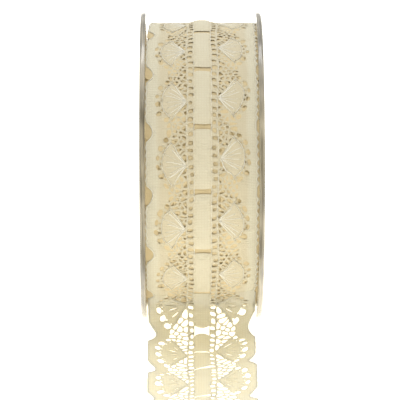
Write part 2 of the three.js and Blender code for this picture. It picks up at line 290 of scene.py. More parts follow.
def place(u, v, height):
    """A point at a height over the lace: on the roll where v is below 0, and else on the loose end."""
    angle, radius = spiral(v)
    reach = radius + height
    on_roll = np.stack([u, AXLE_Y - reach * np.cos(angle), AXLE_Z - reach * np.sin(angle)], -1)
    forward, level, heading = TailLine.at(np.maximum(v, 0))
    level = level + tail_wave(u, v)
    on_tail = np.stack([u, AXLE_Y - forward - height * np.cos(heading), level + height * np.sin(heading)], -1)
    return np.where((v < 0)[..., None], on_roll, on_tail)


def wander(u, v):
    """The lace's own unevenness, as shifts along u and v, least in the middle strip and at the edges."""
    du = 0.35 * np.sin(v / 7.3 + 0.7 * np.sin(u / 6.1)) + 0.14 * np.sin(v / 1.9 + u / 2.7)
    dv = 0.6 * np.sin(u / 5.7 + v / 19.3) + 0.3 * np.sin(u / 3.1 - v / 6.7) + 0.14 * np.sin(u / 1.7 - v / 2.3)
    free = smooth(np.abs(u), 3.0, 7.0) * (1 - smooth(np.abs(u), 21.5, 24.0))
    return du * (0.2 + 0.8 * free), dv * (0.3 + 0.7 * free)


def lead(u, v):
    """How far the lace runs ahead in its left half, and hangs back, below 0, at its right edge."""
    ahead = np.interp(-u, [LEFT_LEAD["full_u"], HALF_WIDTH], [LEFT_LEAD["by"], LEFT_LEAD["edge_by"]])
    left = smooth(-u, LEFT_LEAD["from_u"], LEFT_LEAD["full_u"]) * ahead
    across = np.clip((u - RIGHT_LAG["from_u"]) / (HALF_WIDTH - RIGHT_LAG["from_u"]), 0, 1)
    return left - RIGHT_LAG["by"] * across * smooth(v, RIGHT_LAG["from_v"], 0)


def left_pull(u, angle):
    """How far the left edge draws in at an angle round the roll."""
    around = np.mod(angle - LEFT_PULL["at"] + np.pi, 2 * np.pi) - np.pi
    return LEFT_PULL["by"] * smooth(-u, LEFT_PULL["from_u"], HALF_WIDTH) * hump(around / LEFT_PULL["reach"])


def lay(u, t, start, height):
    """Place points of a repeat that starts at the slit line v = start."""
    v = start + t
    du, dv = wander(u, v)
    drift = np.interp(u, DRIFT_AT_U, DRIFT_BY) * (1 - smooth(v, *DRIFT_ENDS_V))
    pull = left_pull(u, spiral(v)[0]) * (v < 0)
    across = du + drift + pull
    return place(u + across, v + dv + lead(u, v), height)


# One repeat, as outlines

def notch(from_slit, depth, half_height, softness):
    share = np.clip(np.abs(from_slit) / half_height, 0, 1)
    return depth * (1 - share**2) ** softness


class Edges:
    """Both scalloped edges of one repeat, by the kinds of the notches at its two ends."""

    def __init__(self, ends, style):
        self.ends = ends
        self.picot = style["picot"]
        self.widest = HALF_WIDTH + style["spread"]

    def half_width(self, side, t):
        first, last = (NOTCHES[end][side] for end in self.ends)
        cut = notch(t, *first) + notch(t - PERIOD, *last)
        size = self.picot * (LEFT_PICOT_SHARE if side < 0 else 1)
        picots = size * np.sin(np.pi * PICOTS * t / PERIOD) ** 2 * np.exp(-cut)
        return self.widest - cut - picots

    def inside(self, u, t):
        """How far points lie inside the nearer edge."""
        return np.where(u < 0, self.half_width(-1, t) + u, self.half_width(1, t) - u)


def oval(rng, u, t, half_u, half_t, turn=0.0, sides=12, square=2.0, uneven=0.1):
    """A slightly uneven oval outline. A higher square makes it more like a rectangle."""
    a = (np.arange(sides) + rng.uniform(0, 1)) / sides * 2 * np.pi
    reach = 1 + uneven * rng.uniform(-1, 1, sides)
    x = half_u * reach * np.sign(np.cos(a)) * np.abs(np.cos(a)) ** (2 / square)
    y = half_t * reach * np.sign(np.sin(a)) * np.abs(np.sin(a)) ** (2 / square)
    c, s = math.cos(turn), math.sin(turn)
    return np.stack([u + c * x - s * y, t + s * x + c * y], -1)


def slit(t, middle, ends, turn=0):
    """A slit across the middle strip, open wider at its two ends, because the tabs' ends are round."""
    u = np.linspace(-SLIT_HALF_WIDTH, SLIT_HALF_WIDTH, 11)
    t = t - u * math.tan(math.radians(turn))
    half = (middle + (ends - middle) * (u / SLIT_HALF_WIDTH) ** 2) / 2
    return np.concatenate([np.stack([u, t - half], -1), np.stack([u, t + half], -1)[::-1]])


def clip(polygon, point, normal):
    """The part of a polygon behind the line through a point."""
    ahead = (polygon - point) @ normal
    kept = []
    for i, p in enumerate(polygon):
        j = (i + 1) % len(polygon)
        if ahead[i] <= 0:
            kept.append(p)
        if (ahead[i] <= 0) != (ahead[j] <= 0):
            kept.append(p + ahead[i] / (ahead[i] - ahead[j]) * (polygon[j] - p))
    return np.array(kept).reshape(-1, 2)


def round_corners(polygon):
    after = np.roll(polygon, -1, axis=0)
    return np.stack([0.75 * polygon + 0.25 * after, 0.25 * polygon + 0.75 * after], 1).reshape(-1, 2)


def net_region():
    """Borders of the net about the slit line between two fans, as points and outward normals."""
    slope = math.radians(FAN_HALF_ANGLE)
    lines = [((NET_INNER_U, 0), (-1, 0)), ((NET_OUTER_U, 0), (1, 0))]
    for end in (-1, 1):
        normal = np.array([math.sin(slope), end * math.cos(slope)])
        lines.append((np.array([FAN_APEX_U, end * PERIOD / 2]) - NET_FROM_FAN * normal, normal))
    return [(np.array(point, float), np.array(normal, float)) for point, normal in lines]


def net_cells(seam, side, style):
    """Holes of the net about one slit line: one many-sided hole round each of a set of scattered points."""
    rng = np.random.default_rng(SEEDS["net"] + 10 * seam + side)
    region = net_region()
    pitch, thread = style["pitch"], style["thread"]
    seeds = []
    rows = np.arange(-PERIOD / 2 + NET_MARGIN, PERIOD / 2 - NET_END_MARGIN, NET_ROW_SHARE * pitch)
    for row, y in enumerate(rows):
        for x in np.arange(NET_INNER_U + NET_MARGIN + 0.5 * pitch * (row % 2), NET_OUTER_U, pitch):
            seeds.append((x, y))
    for end in (-1, 1):
        seeds += [(NET_INNER_U + across, end * (PERIOD / 2 - along)) for across, along in NET_CORNER]
    seeds = np.array(seeds) + rng.normal(0, style["scatter"], (len(seeds), 2))
    inside = np.all([(seeds - point) @ normal < -NET_CLEAR for point, normal in region], axis=0)
    seeds = seeds[inside]
    cells = []
    for i, seed in enumerate(seeds):
        cell = seed + 2 * pitch * np.array([(-1, -1), (1, -1), (1, 1), (-1, 1)])
        for point, normal in region:
            cell = clip(cell, point, normal)
        for j, other in enumerate(seeds):
            distance = np.linalg.norm(other - seed)
            if i != j and distance < 3 * pitch and len(cell):
                normal = (other - seed) / distance
                cell = clip(cell, (seed + other) / 2 - thread / 2 * normal, normal)
        if len(cell) >= 3 and np.ptp(cell, axis=0).min() > NET_LEAST_HOLE:
            cells.append(round_corners(cell))
    return cells


def about_apex(side, radius, angle):
    """Places at a radius and an angle about the apex of the fan on one side."""
    return side * (FAN_APEX_U + radius * np.cos(angle)), PERIOD / 2 + radius * np.sin(angle)


def repeat_holes(seed, seams, slits, style):
    """Outlines of every hole of one repeat. seams number the nets at its two ends."""
    rng = np.random.default_rng(SEEDS["holes"] + seed)
    holes = [slit(*row) for row in slits]
    wide = style["widen"]

    def uneven(u, t, half_u, half_t, **rest):
        shift = rng.normal(0, 0.2, 2)
        grow = rng.uniform(0.75, 1.15, 2)
        return oval(rng, u + shift[0], t + shift[1], half_u * grow[0], half_t * grow[1], **rest)

    for side in (-1, 1):
        for row in RING:
            angle = math.radians(row["angle"])
            u, t = about_apex(side, RING_RADIUS, angle)
            holes.append(uneven(u, t, row["along"] + wide, row["across"] + wide, turn=side * angle))
        for degrees in DOT_ANGLES:
            u, t = about_apex(side, DOT_RADIUS, math.radians(degrees))
            holes.append(uneven(u, t, DOT_SIZE, DOT_SIZE, sides=7))
        for i in range(style["fan_slits"]):
            even = FAN_HALF_ANGLE * (2 * (i + 0.5) / style["fan_slits"] - 1) * FAN_SLIT["spread"]
            angle = math.radians(even + rng.normal(0, 2))
            u, t = about_apex(side, rng.uniform(*FAN_SLIT["reach"]), angle)
            half_length = rng.uniform(*FAN_SLIT["half_length"])
            half_width = rng.uniform(*FAN_SLIT["half_width"])
            holes.append(oval(rng, u, t, half_length, half_width, turn=side * angle, sides=10))
        for slit_line, seam in zip((0, PERIOD), seams):
            for cell in net_cells(seam, side, style):
                holes.append(np.stack([side * cell[:, 0], slit_line + cell[:, 1]], -1)[::side])
        for i in range(style["ladder"]):
            t = (i + 0.5) / style["ladder"] * PERIOD
            hole = uneven(side * LADDER_U, t, LADDER_HALF_U, LADDER_HALF_T + wide, square=3.0)
            hole[:, 1] -= lead(hole[:, 0], 0.0) - lead(side * LADDER_U, 0.0)
            holes.append(hole)
    return holes


def away(outline, points):
    """About how far points lie outside an outline, in millimetres, negative inside it."""
    ahead = np.roll(outline, -1, axis=0) - outline
    x, y = outline.T
    turn = np.sign(np.sum(x * np.roll(y, -1) - np.roll(x, -1) * y))
    normals = turn * np.stack([ahead[:, 1], -ahead[:, 0]], -1)
    normals /= np.maximum(np.linalg.norm(normals, axis=1), 1e-9)[:, None]
    return np.max(points @ normals.T - np.sum(outline * normals, axis=1), axis=1)


def fan_share(u, t):
    """1 inside a fan, 0 outside, with a soft edge."""
    x = np.abs(u) - FAN_APEX_U
    y = t - PERIOD / 2
    inside = 1 - smooth(np.hypot(x, y), FAN_RADIUS - 0.7, FAN_RADIUS + 0.1)
    angle = np.degrees(np.abs(np.arctan2(y, np.maximum(x, 1e-6))))
    return inside * (1 - smooth(angle, FAN_HALF_ANGLE - 4, FAN_HALF_ANGLE + 3)) * (x > 0)


def tab_share(u):
    return 1 - smooth(np.abs(u), TAB_HALF_WIDTH - 0.5, SLIT_HALF_WIDTH)


def arch(u, t, rise):
    """How far the middle strip stands up between two slits, with the ladders sloping down beside it."""
    along = 1 - np.abs(2 * np.clip(t / PERIOD, 0, 1) - 1) ** 5
    crown = 1 - 0.25 * (u / TAB_HALF_WIDTH) ** 2
    return rise * along * (0.4 * tab_share(u) * crown + 0.6 * (1 - smooth(np.abs(u), 1.5, 7.5)))


def cut_repeat(seed, seams, slits, style, ends=WOUND_ENDS):
    """Triangulate one repeat round its holes. Returns points (u, t), heights, tones and triangles."""
    edges = Edges(ends, style)
    holes = repeat_holes(seed, seams, slits, style)
    side_t = np.linspace(0, PERIOD, 8 * PICOTS + 1)
    share = np.linspace(0, 1, 49)[1:-1]

    def seam_line(t):
        left, right = -edges.half_width(-1, t), edges.half_width(1, t)
        return np.stack([left + (right - left) * share, np.full(share.size, t)], -1)

    outline = np.concatenate([
        np.stack([edges.half_width(1, side_t), side_t], -1),
        seam_line(PERIOD)[::-1],
        np.stack([-edges.half_width(-1, side_t), side_t], -1)[::-1],
        seam_line(0.0),
    ])
    rings = [outline] + holes
    firsts = np.cumsum([0] + [len(ring) for ring in rings])
    faces = [list(range(a, b)) for a, b in zip(firsts[:-1], firsts[1:])]

    rng = np.random.default_rng(seed)
    spacing = style["spacing"]
    grid_u, grid_t = np.meshgrid(np.arange(-HALF_WIDTH, HALF_WIDTH, spacing), np.arange(0.5, PERIOD, spacing))
    grid = np.stack([grid_u.ravel(), grid_t.ravel()], -1)
    grid += rng.uniform(-0.2, 0.2, grid.shape) * spacing
    clear = np.minimum.reduce([away(h, grid) for h in holes])
    off_seams = (grid[:, 1] > POINT_CLEAR["seam"]) & (grid[:, 1] < PERIOD - POINT_CLEAR["seam"])
    off_edges = edges.inside(*grid.T) > POINT_CLEAR["edge"]
    grid = grid[off_seams & (clear > POINT_CLEAR["hole"]) & off_edges]

    points = np.concatenate(rings + [grid])
    cut = delaunay_2d_cdt([Vector(p) for p in points], [], faces, 0, 1e-5, True)
    triangles = np.array([f for f, owners in zip(cut[2], cut[5]) if owners == [0]])
    flat = np.array([tuple(p) for p in cut[0]])
    used, triangles = np.unique(triangles, return_inverse=True)
    triangles = triangles.reshape(-1, 3)
    u, t = flat[used].T

    clear = np.maximum(np.minimum.reduce([away(h, flat[used]) for h in holes]), 0)
    rim = HOLE_RIM["rise"] * np.exp(-((clear - HOLE_RIM["at"]) / HOLE_RIM["width"]) ** 2)
    rim = rim - HOLE_FALL["by"] * np.exp(-clear / HOLE_FALL["within"])
    edge = -EDGE_FALL["by"] * np.exp(-np.maximum(edges.inside(u, t), 0) / EDGE_FALL["within"])
    height = rim + edge + arch(u, t, style["tab_rise"]) + style["fan_rise"] * fan_share(u, t)
    tone = np.maximum(TAB_TONE * tab_share(u), smooth(np.abs(u), *BORDER_U))
    return {"u": u, "t": t, "height": height, "tone": tone, "triangles": triangles}


# Threads over the sheet

def open_curve(points, passes=2):
    """A smooth line from the first point to the last."""
    line = np.array(points, float)
    for _ in range(passes):
        low = 0.75 * line[:-1] + 0.25 * line[1:]
        high = 0.25 * line[:-1] + 0.75 * line[1:]
        line = np.concatenate([line[:1], np.stack([low, high], 1).reshape(-1, line.shape[1]), line[-1:]])
    return line


def thread_row(u, t, height, radius):
    return np.stack([np.broadcast_to(x, np.shape(t)) for x in (u, t, height, radius)], -1)


def repeat_threads(seed, style, ends=WOUND_ENDS):
    """Raised threads of one repeat, as rows of (u, t, height, radius)."""
    edges = Edges(ends, style)
    rng = np.random.default_rng(SEEDS["threads"] + seed)
    threads = []
    t = np.linspace(0, PERIOD, 41)
    for side in (-1, 1):
        for rib in FAN_RIBS if style["ribbed"] else []:
            r = np.linspace(RIB_START, FAN_RADIUS * rng.uniform(*RIB_SHARE), 9)
            bend = math.radians(3) * np.sin(np.pi * r / FAN_RADIUS) * np.sign(rib["angle"])
            angle = math.radians(rib["angle"] + rng.normal(0, 2.5)) + bend
            radius = style["gimp"] * rib["radius"] * rng.uniform(0.8, 1.3)
            lift = style["fan_rise"] - 0.5 * radius
            threads.append(thread_row(*about_apex(side, r, angle), lift, radius))
        if style["ribbed"]:
            angle = np.radians(np.linspace(-FAN_HALF_ANGLE, FAN_HALF_ANGLE, 19))
            arc = about_apex(side, FAN_RADIUS, angle)
            threads.append(thread_row(*arc, ARC_THREAD["height"], ARC_THREAD["radius"]))
        for end in (0, 1):
            bends = np.array(GIMP)
            bends[:-1, :2] += rng.normal(0, 0.35, bends[:-1, :2].shape)
            u, from_slit, radius = open_curve(bends).T
            radius = style["gimp"] * radius * rng.uniform(0.7, 1.2)
            along = PERIOD - from_slit if end else from_slit
            threads.append(thread_row(side * u, along, GIMP_HEIGHT, radius))
        u = side * (edges.half_width(side, t) - EDGE_THREAD["inset"])
        threads.append(thread_row(u, t, 0.0, EDGE_THREAD["radius"] * style["gimp"]))
        for row in LADDER_THREADS:
            height = arch(np.full(t.shape, row["u"]), t, style["tab_rise"]) - LADDER_THREAD_SUNK
            threads.append(thread_row(side * row["u"], t, height, row["radius"] * style["gimp"]))
    return threads


def tubes(threads, start, sides=5):
    """Round tubes along threads, laid on the lace from the slit line at start."""
    points = []
    faces = []
    marks = []
    count = 0
    turn = np.arange(sides) / sides * 2 * np.pi
    for thread in threads:
        u, t, height, radius = thread.T
        middle = lay(u, t, start, height)
        over = lay(u, t, start, height + 0.1)
        out = (over - middle) / np.linalg.norm(over - middle, axis=1)[:, None]
        ahead = np.gradient(middle, axis=0)
        aside = np.cross(ahead, out)
        aside /= np.linalg.norm(aside, axis=1)[:, None]
        round_it = np.cos(turn)[None, :, None] * aside[:, None] + np.sin(turn)[None, :, None] * out[:, None]
        points.append((middle[:, None] + radius[:, None, None] * round_it).reshape(-1, 3))
        length = np.concatenate([[0], np.cumsum(np.linalg.norm(np.diff(middle, axis=0), axis=1))])
        marks.append(np.stack(np.broadcast_arrays(turn[None] / 3, length[:, None]), -1).reshape(-1, 2))
        n = len(u)
        for i in range(n - 1):
            for j in range(sides):
                k = (j + 1) % sides
                a, b = count + i * sides, count + (i + 1) * sides
                faces.append((a + j, a + k, b + k, b + j))
        faces.append(tuple(count + j for j in range(sides))[::-1])
        faces.append(tuple(count + (n - 1) * sides + j for j in range(sides)))
        count += n * sides
    return np.concatenate(points), faces, np.concatenate(marks)


# Meshes

def make_piece(name, points, faces, uv=None, tone=None):
    mesh = bpy.data.meshes.new(name)
    mesh.from_pydata((np.asarray(points) * MM).tolist(), [], [tuple(map(int, f)) for f in faces])
    if uv is not None:
        corners = np.empty(len(mesh.loops), dtype=np.int32)
        mesh.loops.foreach_get("vertex_index", corners)
        layer = mesh.uv_layers.new(name="lace")
        layer.data.foreach_set("uv", np.asarray(uv)[corners].astype(np.float32).ravel())
    if tone is not None:
        attribute = mesh.attributes.new("tone", "FLOAT", "POINT")
        attribute.data.foreach_set("value", np.asarray(tone, dtype=np.float32))
    mesh.validate()
    mesh.polygons.foreach_set("use_smooth", np.ones(len(mesh.polygons), dtype=bool))
    piece = bpy.data.objects.new(name, mesh)
    bpy.context.scene.collection.objects.link(piece)
    return piece


def weld(piece, distance=2e-6):
    """Join the seams between neighbouring repeats."""
    work = bmesh.new()
    work.from_mesh(piece.data)
    bmesh.ops.remove_doubles(work, verts=work.verts, dist=distance)
    work.to_mesh(piece.data)
    work.free()


def trim_end(piece):
    """Cut the loose end straight across where it stops."""
    work = bmesh.new()
    work.from_mesh(piece.data)
    everything = work.verts[:] + work.edges[:] + work.faces[:]
    stop = (AXLE_Y - TAIL_REACH + END_INSET) * MM
    bmesh.ops.bisect_plane(
        work, geom=everything, plane_co=(0, stop, 0), plane_no=(0, -1, 0), clear_outer=True)
    work.to_mesh(piece.data)
    work.free()


def wound_repeats(first_seed, starts, style):
    """A turn of repeats up the roll, as (repeat, start) pairs. Neighbours share the net between them."""
    slits = [(t, ROLL_SLIT["middle"], ROLL_SLIT["ends"]) for t in (0, PERIOD)]
    kinds = []
    for i in range(REPEAT_KINDS):
        seams = ((i + 1) % REPEAT_KINDS, i)
        kinds.append(cut_repeat(first_seed + i, seams, slits, style))
    return [(kinds[i % REPEAT_KINDS], start) for i, start in enumerate(starts)]


def lace_sheet(name, laid, lift=0.0):
    """One sheet from (repeat, start) pairs, lifted off its place."""
    points = []
    faces = []
    uv = []
    tone = []
    count = 0
    for repeat, start in laid:
        u, t = repeat["u"], repeat["t"]
        points.append(lay(u, t, start, repeat["height"] + lift))
        faces.append(repeat["triangles"][:, ::-1] + count)
        uv.append(np.stack([u, start + t], -1))
        tone.append(repeat["tone"])
        count += len(u)
    piece = make_piece(
        name, np.concatenate(points), np.concatenate(faces), np.concatenate(uv), np.concatenate(tone))
    weld(piece)
    return piece


def lace_threads(name, laid):
    """Threads of several repeats, from (threads, start) pairs."""
    points = []
    faces = []
    uv = []
    count = 0
    for threads, start in laid:
        p, f, m = tubes(threads, start)
        points.append(p)
        faces += [tuple(i + count for i in face) for face in f]
        uv.append(m)
        count += len(p)
    return make_piece(name, np.concatenate(points), faces, np.concatenate(uv))


def on_drum(x, radius, angle):
    """Points round the axle at a place along it."""
    along = np.broadcast_to(x, np.shape(angle))
    return np.stack([along, AXLE_Y - radius * np.cos(angle), AXLE_Z - radius * np.sin(angle)], -1)


def wound_body(name):
    """The turns under the outer two: a drum, with each turn's scalloped edge standing out at both sides."""
    points = []
    faces = []
    tone = []
    count = 0
    rng = np.random.default_rng(SEEDS["body"])
    edges = Edges(WOUND_ENDS, UNDER)

    def add_strip(rows, angle, shade, flip):
        nonlocal count
        steps = len(angle)
        for row, (x, radius) in enumerate(rows):
            points.append(on_drum(x, radius, angle))
            tone.append(np.full(steps, shade))
            if row == 0:
                continue
            a, b = count + (row - 1) * steps, count + row * steps
            for i in range(steps - 1):
                quad = (a + i, a + i + 1, b + i + 1, b + i)
                faces.append(quad[::-1] if flip else quad)
        count += len(rows) * steps

    outer = ROLL_RADIUS - BODY_DEPTH
    for first_radius in np.arange(outer, HUB_RADIUS + 2 * TURN_STEP, -TURN_STEP):
        around = 2 * np.pi * first_radius
        turned = np.linspace(0, 2 * np.pi, max(48, int(around / BODY_STEP)))
        radius = first_radius - TURN_STEP * turned / (2 * np.pi)
        low = radius - BODY_EDGE["share"] * TURN_STEP
        angle = LEAVE_ANGLE - turned
        t = np.mod(turned / (2 * np.pi) * around + rng.uniform(0, PERIOD), PERIOD)
        for side in (-1, 1):
            reach = edges.half_width(side, t) + rng.uniform(-0.3, 0.1) + rng.normal(0, 0.08, len(t))
            edge = side * np.minimum(reach, edges.widest)
            edge = edge + left_pull(edge, angle)
            inner = np.full(len(t), side * DRUM_HALF_WIDTH)
            rows = [
                (inner, radius),
                (edge - side * BODY_EDGE["top_in"], radius),
                (edge, radius - BODY_EDGE["out_at"]),
                (edge - side * BODY_EDGE["bottom_in"], low),
                (inner, low),
            ]
            add_strip(rows, angle, rng.uniform(0, 1), side > 0)
        if first_radius == outer:
            add_strip([(-inner, radius), (inner, radius)], angle, 0.5, True)
    return make_piece(name, np.concatenate(points), faces, tone=np.concatenate(tone))


def corner(radius, x, rounding, start, steps=6):
    """A quarter circle of a flange's profile about (radius, x), from an angle in degrees."""
    for i in range(steps):
        a = math.radians(start + 90 * i / (steps - 1))
        yield radius + rounding * math.cos(a), x + rounding * math.sin(a)


def flange(name, side):
    """A clear disc with a rounded rim and half the hub, turned about the axle, and flat where it stands."""
    inside = FLANGE_OUTSIDE - FLANGE_THICKNESS
    inner_rounding, outer_rounding, chamfer = 0.35, 1.1, 0.8
    face = np.linspace(0.1, 1.0, 10)
    face_end = FLANGE_RADIUS - 1.5 * outer_rounding
    profile = [(HUB_BORE_RADIUS, CLEARANCE / 2), (HUB_RADIUS, CLEARANCE / 2)]
    profile += list(corner(HUB_RADIUS + chamfer, inside - chamfer, chamfer, 90))[::-1]
    profile += [(HUB_RADIUS + s * (face_end - HUB_RADIUS), inside) for s in face]
    profile += corner(FLANGE_RADIUS - inner_rounding, inside + inner_rounding, inner_rounding, -90)
    profile += corner(FLANGE_RADIUS - outer_rounding, FLANGE_OUTSIDE - outer_rounding, outer_rounding, 0)
    profile += [(HUB_BORE_RADIUS + s * (face_end - HUB_BORE_RADIUS), FLANGE_OUTSIDE) for s in face[::-1]]
    profile += corner(HUB_BORE_RADIUS + chamfer, FLANGE_OUTSIDE - chamfer, chamfer, 90)
    steps = 256
    angle = np.arange(steps) / steps * 2 * np.pi
    points = []
    tone = []
    for r, x in profile:
        ring = on_drum(side * x, r, angle)
        ring[:, 2] = np.maximum(ring[:, 2], 0)
        points.append(ring)
        # The tone marks the rim, which the plastic paints with shade and reflection.
        tone.append(np.full(steps, float(r > face_end + 0.1)))
    faces = []
    rows = len(profile)
    for row in range(rows):
        a, b = row * steps, (row + 1) % rows * steps
        for i in range(steps):
            j = (i + 1) % steps
            quad = (a + i, b + i, b + j, a + j)
            faces.append(quad if side > 0 else quad[::-1])
    piece = make_piece(name, np.concatenate(points), faces, tone=np.concatenate(tone))
    modifier = piece.modifiers.new("edges", "WEIGHTED_NORMAL")
    modifier.keep_sharp = True
    return piece


# Materials

class Nodes:
    """Short ways to add and link the nodes of one material."""

    def __init__(self, name):
        self.material = bpy.data.materials.new(name)
        self.material.use_nodes = True
        self.tree = self.material.node_tree
        self.shader = self.tree.nodes["Principled BSDF"]

    def add(self, kind, **settings):
        node = self.tree.nodes.new(kind)
        for key, value in settings.items():
            setattr(node, key, value)
        return node

    def link(self, out, into):
        self.tree.links.new(out, into)

    def math(self, operation, a, b=None):
        node = self.add("ShaderNodeMath", operation=operation)
        for socket, value in zip(node.inputs, (a, b)):
            if value is None:
                continue
            if isinstance(value, (int, float)):
                socket.default_value = value
            else:
                self.link(value, socket)
        return node.outputs[0]

    def noise(self, scale, detail=4.0, stretch=(1, 1, 1)):
        node = self.add("ShaderNodeTexNoise")
        node.inputs["Scale"].default_value = scale
        node.inputs["Detail"].default_value = detail
        mapping = self.add("ShaderNodeMapping")
        mapping.inputs["Scale"].default_value = stretch
        self.link(self.add("ShaderNodeTexCoord").outputs["Object"], mapping.inputs["Vector"])
        self.link(mapping.outputs["Vector"], node.inputs["Vector"])
        return node.outputs["Fac"]

    def lace_uv(self):
        """Places across and along the lace, in millimetres."""
        split = self.add("ShaderNodeSeparateXYZ")
        self.link(self.add("ShaderNodeUVMap", uv_map="lace").outputs["UV"], split.inputs[0])
        return split.outputs[0], split.outputs[1]

    def tone(self):
        return self.add("ShaderNodeAttribute", attribute_name="tone").outputs["Fac"]

    def wave(self, value, pitch):
        return self.math("SINE", self.math("MULTIPLY", value, 2 * math.pi / pitch))

    def ramp(self, value, low, high):
        """0 below low, 1 above high, and smooth between."""
        node = self.add("ShaderNodeMapRange", interpolation_type="SMOOTHSTEP")
        node.inputs["From Min"].default_value = low
        node.inputs["From Max"].default_value = high
        self.link(value, node.inputs["Value"])
        return node.outputs[0]

    def mix(self, share, a, b):
        node = self.add("ShaderNodeMix", data_type="RGBA")
        self.link(share, node.inputs[0])
        for socket, value in ((node.inputs[6], a), (node.inputs[7], b)):
            if isinstance(value, tuple):
                socket.default_value = (*value, 1)
            else:
                self.link(value, socket)
        return node.outputs[2]

    def bump(self, height, distance, strength=1.0):
        node = self.add("ShaderNodeBump")
        node.inputs["Distance"].default_value = distance
        node.inputs["Strength"].default_value = strength
        self.link(height, node.inputs["Height"])
        self.link(node.outputs["Normal"], self.shader.inputs["Normal"])

    def set(self, **values):
        for key, value in values.items():
            self.shader.inputs[key.replace("_", " ")].default_value = value

    def let_light_through(self):
        self.set(Subsurface_Weight=0.6, Subsurface_Radius=(1, 0.95, 0.85), Subsurface_Scale=0.002)


def darker(colour, factors):
    return tuple(c * f for c, f in zip(colour, factors))


def cotton(name, cream, pale, loose=None):
    """Woven cotton: weft lines across the lace, warp lines along it, and a middle strip and borders in the
    second colour. The weft and warp lines darken the colour as painted shade for the grooves between the
    weave's rows. Where a loose colour is given, it takes that as it comes off the roll: a lighter colour,
    painted light for the loose end, which lies out in the light."""
    n = Nodes(name)
    u, v = n.lace_uv()
    # The weft and warp lines darken the colour below: painted shade for the grooves between the weave's rows.
    # The bump presses the weft lines in as well.
    weft = n.math("POWER", n.math("ABSOLUTE", n.wave(v, 2.5)), 6.0)
    warp = n.math("POWER", n.math("ABSOLUTE", n.wave(u, 2.3)), 6.0)
    woven = n.math("MULTIPLY", n.wave(u, 0.55), n.wave(v, 0.46))
    fuzz = n.noise(1400.0, 3.0)
    patches = n.noise(110.0, 5.0)
    shade = n.math("ADD", n.math("MULTIPLY", patches, 0.55), n.math("MULTIPLY", fuzz, 0.35))
    shade = n.math("ADD", shade, n.math("MULTIPLY", n.math("MAXIMUM", weft, warp), 0.35))
    plain = n.mix(n.tone(), cream, pale)
    if loose:
        # Painted light: the loose end blends to a lighter colour than the wound lace, for the light it lies
        # in.
        plain = n.mix(n.ramp(v, -14.0, 12.0), plain, loose)
        n.let_light_through()
    colour = n.mix(n.math("MULTIPLY", shade, 0.5), plain, darker(cream, (0.86, 0.81, 0.7)))
    n.link(colour, n.shader.inputs["Base Color"])
    n.set(Roughness=0.75, Sheen_Weight=0.25, Sheen_Roughness=0.5, IOR=1.45, Specular_IOR_Level=0.25)
    height = n.math("ADD", n.math("MULTIPLY", woven, 0.5), fuzz)
    n.bump(n.math("SUBTRACT", height, n.math("MULTIPLY", weft, 0.6)), 0.00007)
    return n.material


def gimp(name, cream, light, thin=False):
    """Shiny twisted thread, brighter in some places than in others: its lighter colour is partly the thread's
    own paler cream and partly painted highlight for the shine it catches. Light comes through thin thread.
    """
    n = Nodes(name)
    if thin:
        n.let_light_through()
    around, along = n.lace_uv()
    twist = n.math("SINE", n.math("MULTIPLY", n.math("ADD", around, along), 9.0))
    # The second colour is partly the thread's own paler cream and partly painted highlight.
    n.link(n.mix(n.noise(160.0, 3.0), cream, light), n.shader.inputs["Base Color"])
    n.set(Roughness=0.4, Sheen_Weight=0.2, IOR=1.5)
    n.bump(twist, 0.00005)
    return n.material


def wound_edges_painted_shade(name, cream):
    """The stacked edges of the inner turns, in a brown that is painted shade for the deep gap by the flanges
    where they lie, each a little lighter or darker than the next at random.
    """
    n = Nodes(name)
    fuzz = n.noise(900.0, 4.0)
    shade = n.math("ADD", n.math("MULTIPLY", n.tone(), 0.5), n.math("MULTIPLY", fuzz, 0.5))
    n.link(n.mix(shade, cream, darker(cream, (0.82, 0.76, 0.62))), n.shader.inputs["Base Color"])
    n.set(Roughness=0.85, Sheen_Weight=0.2, IOR=1.45)
    n.bump(fuzz, 0.00012)
    return n.material


def clear_plastic(name):
    """Clear moulded plastic, scuffed on its faces. Where it is seen along its rim it is painted darker and
    streaked
    in browns, and less clear: painted shade and painted reflection of the lace and the dark front seen
    through and off the plastic.
    """
    n = Nodes(name)
    rim = n.tone()
    streaks = n.noise(40.0, 3.0, stretch=(45, 1, 1))
    rim_shade_patches = n.noise(45.0, 2.0, stretch=(0.3, 1, 1))
    scuffs = n.noise(60.0, 8.0)
    cloud = n.math("ADD", n.math("MULTIPLY", streaks, 0.5), n.math("MULTIPLY", rim_shade_patches, 0.5))
    # Painted shade and painted reflection: the rim is painted in dark browns, and made less clear, for what
    # is seen through and off the plastic along it.
    edge = n.mix(n.ramp(cloud, 0.34, 0.66), (0.095, 0.08, 0.047), (0.46, 0.405, 0.285))
    n.link(n.mix(rim, (0.93, 0.92, 0.89), edge), n.shader.inputs["Base Color"])
    n.link(n.math("ADD", n.math("MULTIPLY", scuffs, 0.15), 0.1), n.shader.inputs["Roughness"])
    n.link(n.math("SUBTRACT", 0.88, n.math("MULTIPLY", rim, 0.74)), n.shader.inputs["Transmission Weight"])
    n.set(IOR=1.46)
    n.bump(streaks, 0.00006, 0.4)
    return n.material


def glowing_floor(name):
    """White table that glows a little, warm: painted light, which lights the lace from below and keeps the
    table white where the spool shades it.
    """
    n = Nodes(name)
    n.link(n.mix(n.noise(3.0), (0.93, 0.93, 0.93), (0.95, 0.95, 0.95)), n.shader.inputs["Base Color"])
    # Painted light: the warm glow lights the lace from below.
    n.set(Roughness=0.9, Emission_Color=(1, 0.95, 0.82, 1), Emission_Strength=0.98)
    return n.material


def finish_piece(piece, material, slot, *nodes):
    piece.data.materials.append(material)
    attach(piece, "root")
    if nodes:
        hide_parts(*nodes)


# The spool

CREAM = (0.7, 0.63, 0.45)
outer_cotton = cotton("lace cotton", CREAM, (0.78, 0.745, 0.585))
